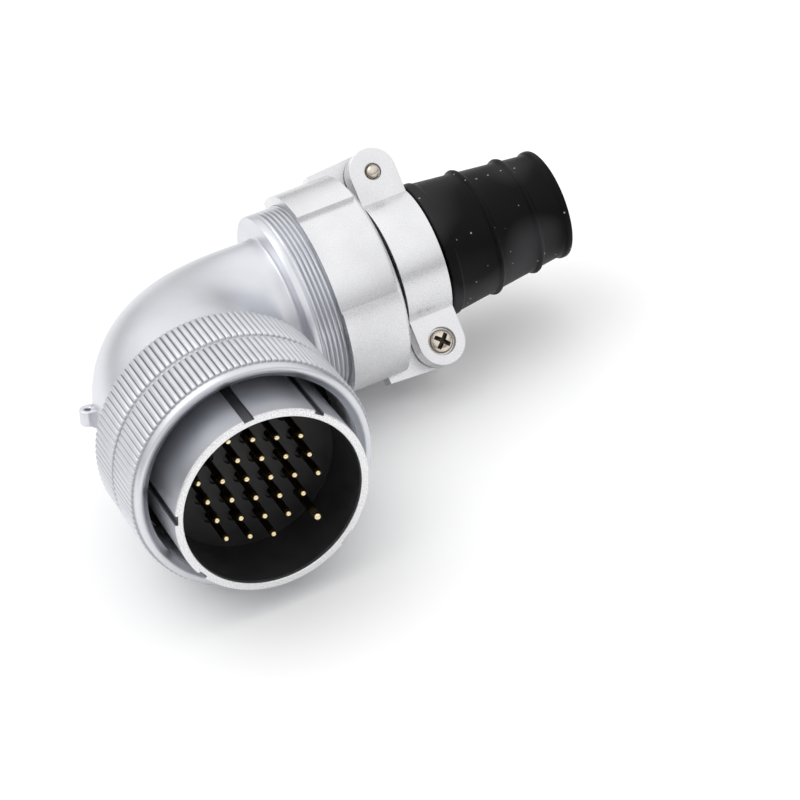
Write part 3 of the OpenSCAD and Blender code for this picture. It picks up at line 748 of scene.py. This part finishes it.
def makeElbow(s):
    # rows of points from the base round the bend to the thread, and back through the bore
    straight = cableBack / mm - s["bend"] - s["start"]
    bend = s["bend"] * math.pi / 2

    def pathAt(out):
        return straight + bend + out - s["bend"]

    rows = [elbowRow(s, 0, s["tail"]), elbowRow(s, 0, s["base"] - 0.3)]
    rows += [elbowRow(s, 0.09, s["base"] - 0.09), elbowRow(s, 0.3, s["base"])]
    stations = [straight * i / 3 for i in (1, 2, 3)]
    stations += [straight + bend * i / 40 for i in range(1, 41)]
    rows += [elbowRow(s, along, elbowRadius(s, along)) for along in stations]
    fillet = s["fillet"]
    rows.append(elbowRow(s, pathAt(s["collar"] - fillet - 1), s["outlet"]))
    for i in range(6):
        a = math.pi / 2 * i / 5
        rows.append(elbowRow(s, pathAt(s["collar"] - fillet * (1 - math.sin(a))),
                             s["outlet"] + fillet * (1 - math.cos(a))))
    top = s["thread"]
    rows += [elbowRow(s, pathAt(s["collar"]), top - 0.5),
             elbowRow(s, pathAt(s["collar"] + 0.1), top - 0.15),
             elbowRow(s, pathAt(s["collar"] + 0.35), top),
             elbowRow(s, pathAt(s["threadFrom"] - 0.25), top),
             elbowRow(s, pathAt(s["threadFrom"] - 0.12), top - 0.12)]

    def threadRadius(turn, out):
        phase = (out / s["pitch"] + turn / (2 * math.pi)) % 1.0
        ridge = 1 - abs(phase - 0.5) * 2
        height = min(1.0, max(0.0, (ridge - 0.12) / 0.55))
        fade = smoothStep((out - s["threadFrom"]) / 0.8)
        tail = smoothStep((s["end"] - out) / 1.2)
        return top - s["depth"] * (1 - height) * fade - s["depth"] * 0.6 * (1 - tail)

    length = s["end"] - s["threadFrom"]
    count = int(length / s["pitch"] * 8)
    for i in range(count + 1):
        rows.append(elbowRow(s, pathAt(s["threadFrom"] + length * i / count), threadRadius))
    bore = s["outlet"] - s["wall"] + 0.1
    rows += [elbowRow(s, pathAt(s["end"]), bore + 0.3), elbowRow(s, pathAt(s["end"] - 0.3), bore)]
    rows.append(elbowRow(s, pathAt(s["collar"] - 0.2), bore))
    inner = [straight + bend * i / 24 for i in range(24, 3, -1)]
    rows += [elbowRow(s, along, elbowRadius(s, along) - s["wall"]) for along in inner]
    step = s["step"] - s["start"]
    rows += [elbowRow(s, step + 1.2, elbowRadius(s, step) - s["wall"]),
             elbowRow(s, step + 1.1, s["chamber"]), elbowRow(s, step, s["chamber"]),
             elbowRow(s, step, s["tail"])]
    points, faces = skin(rows)
    return meshObject("elbowCasting", points, faces, threadZinc, 32)


lugSettings = {"turn": 190, "back": 47.3, "root": 20.2, "out": 23.3, "width": 3.6, "thick": 3.6,
               "hole": 0.7, "gusset": 2.0, "steps": 16}


def makeLug(s):
    # a drilled post; its outline is a bar with a round end, thickened crosswise
    half = s["width"] / 2
    outline = [(s["root"], -half)]
    outline += arc((s["out"], 0), half, -90, 90, s["steps"])
    outline += [(s["root"], half)]
    work = bmesh.new()
    angle = math.radians(s["turn"])

    def point(out, along, across):
        radial = Vector((math.cos(angle), 0, -math.sin(angle)))
        tangent = Vector((-math.sin(angle), 0, -math.cos(angle)))
        if across < 0:
            across -= s["gusset"] * max(0.0, (s["out"] - out) / (s["out"] - s["root"]))
        return (radial * out + tangent * across + Vector((0, s["back"] + along, 0))) * mm

    holes = arc((s["out"], 0), s["hole"], -90, 270, 2 * s["steps"])[:-1]
    loops = []
    for across in (-s["thick"] / 2, s["thick"] / 2):
        outer = [work.verts.new(point(x, y, across)) for x, y in outline]
        inner = [work.verts.new(point(x, y, across)) for x, y in holes]
        edges = [work.edges.new((ring[i], ring[(i + 1) % len(ring)]))
                 for ring in (outer, inner) for i in range(len(ring))]
        bmesh.ops.triangle_fill(work, edges=edges, use_beauty=True)
        loops.append((outer, inner))
    for first, second in zip(loops[0], loops[1]):
        for i in range(len(first)):
            j = (i + 1) % len(first)
            work.faces.new((first[i], first[j], second[j], second[i]))
    bmesh.ops.recalc_face_normals(work, faces=work.faces)
    mesh = bpy.data.meshes.new("lanyardLug")
    work.to_mesh(mesh)
    work.free()
    mesh.materials.append(elbowZinc)
    piece = bpy.data.objects.new("lanyardLug", mesh)
    bpy.context.scene.collection.objects.link(piece)
    bevel = piece.modifiers.new("edge", "BEVEL")
    bevel.width = 0.3 * mm
    bevel.segments = 3
    bevel.angle_limit = math.radians(50)
    bpy.context.view_layer.update()
    plainMesh(piece)
    smoothMesh(piece.data, 40)
    return piece


mount(makeElbow(elbowSettings), "housing", ["elbow_housing"])
mount(makeLug(lugSettings), "housing", [])
print("elbow made")

mount(softenedCopy("clamp_sleeve", "clampSleeve", sparkleZinc, 0.35, 3), "sleeve",
      ["clamp_sleeve"])
mount(softenedCopy("saddle_front", "saddleFront", sparkleZinc, 0.35, 3), "front_saddle",
      ["saddle_front"])
mount(softenedCopy("saddle_rear", "saddleRear", sparkleZinc, 0.35, 3), "rear_saddle",
      ["saddle_rear"])

bootSettings = {
    "start": 44.9, "flange": 20.0, "wall": 48.6, "neck": 14.6, "neckEnd": 51.0, "groove": 14.0,
    "lipAt": 65.5, "lip": 16.0, "lipEnd": 67.9, "from": 15.6, "to": 12.3, "end": 97.2,
    "ribs": (77.9, 88.7), "ribHeight": 0.8, "rimWidth": 1.6, "hole": 9.5, "holeLength": 22.0,
    "entry": 11.2,
}


def bootOutline(s):
    def radiusAt(out):
        return s["from"] + (s["to"] - s["from"]) * (out - s["lipEnd"]) / (s["end"] - s["lipEnd"])

    outline = [(s["entry"], s["start"]), (s["flange"] - 0.4, s["start"]),
               (s["flange"], s["start"] + 0.4), (s["flange"], s["wall"]), (s["neck"], s["wall"]),
               (s["neck"], s["neckEnd"] - 0.3), (s["groove"], s["neckEnd"] + 0.5),
               (s["groove"], s["lipAt"] - 0.5)]
    outline += arc((s["lip"] - 0.5, s["lipAt"] - 0.1), 0.5, -90, 0, 4)
    outline += arc((s["lip"] - 0.5, s["lipEnd"] - 0.75), 0.5, 0, 60, 4)
    outline += [(radiusAt(s["lipEnd"]), s["lipEnd"])]
    for rib in s["ribs"]:
        low = radiusAt(rib)
        height = s["ribHeight"]
        outline += [(radiusAt(rib - 4), rib - 4), (radiusAt(rib - 1.1), rib - 1.1),
                    (radiusAt(rib - 0.75) + 0.1, rib - 0.75)]
        outline += [(low + height * math.cos(math.radians(a)),
                     rib + 0.62 * math.sin(math.radians(a))) for a in (-60, -30, 0, 30, 60)]
        outline += [(radiusAt(rib + 0.75) + 0.1, rib + 0.75), (radiusAt(rib + 1.1), rib + 1.1)]
    rim = radiusAt(s["end"]) + s["ribHeight"]
    outline += [(radiusAt(s["end"] - s["rimWidth"] - 3), s["end"] - s["rimWidth"] - 3),
                (radiusAt(s["end"] - s["rimWidth"] - 0.4), s["end"] - s["rimWidth"] - 0.4),
                (rim - 0.35, s["end"] - s["rimWidth"])]
    outline += arc((rim - 0.5, s["end"] - 1.1), 0.5, -30, 0, 2)
    outline += arc((rim - 0.55, s["end"] - 0.55), 0.55, 0, 90, 4)
    outline += [(s["hole"] + 0.5, s["end"]), (s["hole"] + 0.1, s["end"] - 0.15),
                (s["hole"], s["end"] - 0.5), (s["hole"], s["end"] - s["holeLength"])]
    return outline


mount(lathe("cableBoot", bootOutline(bootSettings), cablePoint, rubber, 144, 40), "sleeve",
      ["cable_boot"])
print("boot made")

# out and along: place from the cable axis and from the plug axis; recess: (height above the
# head, reach and half width of the cross)
screwSettings = {"radius": 1.5, "head": 2.7, "seat": 6.9, "headHeight": 2.1, "tip": 9.3,
                 "out": 20.6, "along": 58.8, "pitch": 0.5, "depth": 0.22, "dome": 0.9,
                 "recess": [(0.5, 2.2, 0.56), (-0.4, 2.0, 0.48), (-1.2, 1.1, 0.32)]}


def makeScrew(name, s, sideSign):
    # a cross-recess pan head, a threaded shank and a domed end
    ear = earAxis * sideSign
    axis = screwAxis * sideSign
    centre = Vector((s["along"] * mm, cableBack, 0)) + ear * s["out"] * mm
    across = axis.cross(ear)

    def point(radius, turn, up):
        return centre + (ear * math.cos(turn) + across * math.sin(turn)) * radius + axis * up

    around = 40
    head, seat, top = s["head"], s["seat"], s["seat"] + s["headHeight"]
    outline = [(s["radius"], seat), (head - 0.1, seat), (head, seat + 0.1), (head, seat + 0.9)]
    outline += [(head * math.cos(a), seat + 0.9 + (s["headHeight"] - 0.9) * math.sin(a))
                for a in [math.radians(d) for d in (18, 36, 54, 72)]]
    rows = []
    tip = -s["tip"]
    dome = s["dome"]
    rows.append([point(0.02 * mm, 2 * math.pi * i / around, tip * mm) for i in range(around)])
    for d in (25, 45, 65, 90):
        a = math.radians(d)
        rows.append([point(s["radius"] * math.sin(a) * mm, 2 * math.pi * i / around,
                           (tip + dome * (1 - math.cos(a))) * mm) for i in range(around)])
    length = seat - 0.6 - (tip + dome)
    steps = int(length / s["pitch"] * 6)
    for k in range(1, steps + 1):
        up = tip + dome + length * k / steps
        row = []
        for i in range(around):
            turn = 2 * math.pi * i / around
            phase = (up / s["pitch"] - turn / (2 * math.pi)) % 1.0
            fade = smoothStep((up - tip - dome) / 0.6) * smoothStep((seat - 0.6 - up) / 0.5)
            row.append(point((s["radius"] - s["depth"] * abs(phase - 0.5) * 2 * fade) * mm,
                             turn, up * mm))
        rows.append(row)
    for radius, up in outline:
        rows.append([point(radius * mm, 2 * math.pi * i / around, up * mm)
                     for i in range(around)])
    rows.append([point(0.02 * mm, 2 * math.pi * i / around, top * mm) for i in range(around)])
    points, faces = skin(rows, closed=False)
    last = (len(rows) - 1) * around
    faces.append(tuple(range(around))[::-1])
    faces.append(tuple(last + i for i in range(around)))
    piece = meshObject(name, points, faces, nickel, 40)
    # a second slot for the painted shade in the cross recess
    piece.data.materials.append(paintedRecessShade)
    cutter = makeRecess(point, top, s)
    cut = piece.modifiers.new("recess", "BOOLEAN")
    cut.object = cutter
    cut.operation = "DIFFERENCE"
    cut.solver = "EXACT"
    bpy.context.view_layer.update()
    plainMesh(piece)
    bpy.data.objects.remove(cutter)
    smoothMesh(piece.data, 30)
    return piece


def makeRecess(point, top, s):
    # a tapering cross: wide at the top of the head, narrow at its floor
    work = bmesh.new()
    loops = []
    for rise, reach, half in s["recess"]:
        loop = []
        for quarter in range(4):
            a = math.radians(45 + 90 * quarter)
            for x, y in ((half, -half), (reach, -half), (reach, half)):
                radius = math.hypot(x, y)
                turn = a + math.atan2(y, x)
                loop.append(work.verts.new(point(radius * mm, turn, (top + rise) * mm)))
        loops.append(loop)
    for low, high in zip(loops, loops[1:]):
        for i in range(len(low)):
            j = (i + 1) % len(low)
            work.faces.new((low[i], low[j], high[j], high[i]))
    work.faces.new(loops[0])
    work.faces.new(loops[-1][::-1])
    bmesh.ops.triangulate(work, faces=work.faces)
    bmesh.ops.recalc_face_normals(work, faces=work.faces)
    mesh = bpy.data.meshes.new("recess")
    work.to_mesh(mesh)
    work.free()
    mesh.materials.append(nickel)
    mesh.materials.append(paintedRecessShade)
    # the recess's faces take the painted shade
    for face in mesh.polygons:
        face.material_index = 1
    cutter = bpy.data.objects.new("recess", mesh)
    bpy.context.scene.collection.objects.link(cutter)
    return cutter


mount(makeScrew("screwFront", screwSettings, 1), "front_screw", ["clamp_screw_front"])
mount(makeScrew("screwRear", screwSettings, -1), "rear_screw", ["clamp_screw_rear"])
print("screws made")

# finishes of the pieces whose shape stays as it is in the frame
keptFinishes = {
    "earth_pin": gold, "insulator_rear": plastic, "face_gasket": rubber, "elbow_gasket": rubber,
    "thrust_washer": steel, "ring_retainer": steel, "insert_retainer": steel,
    "gland_washer": steel,
}
for nodeName, finish in keptFinishes.items():
    slots = frame["nodes"][nodeName].data.materials
    slots.clear()
    slots.append(finish)
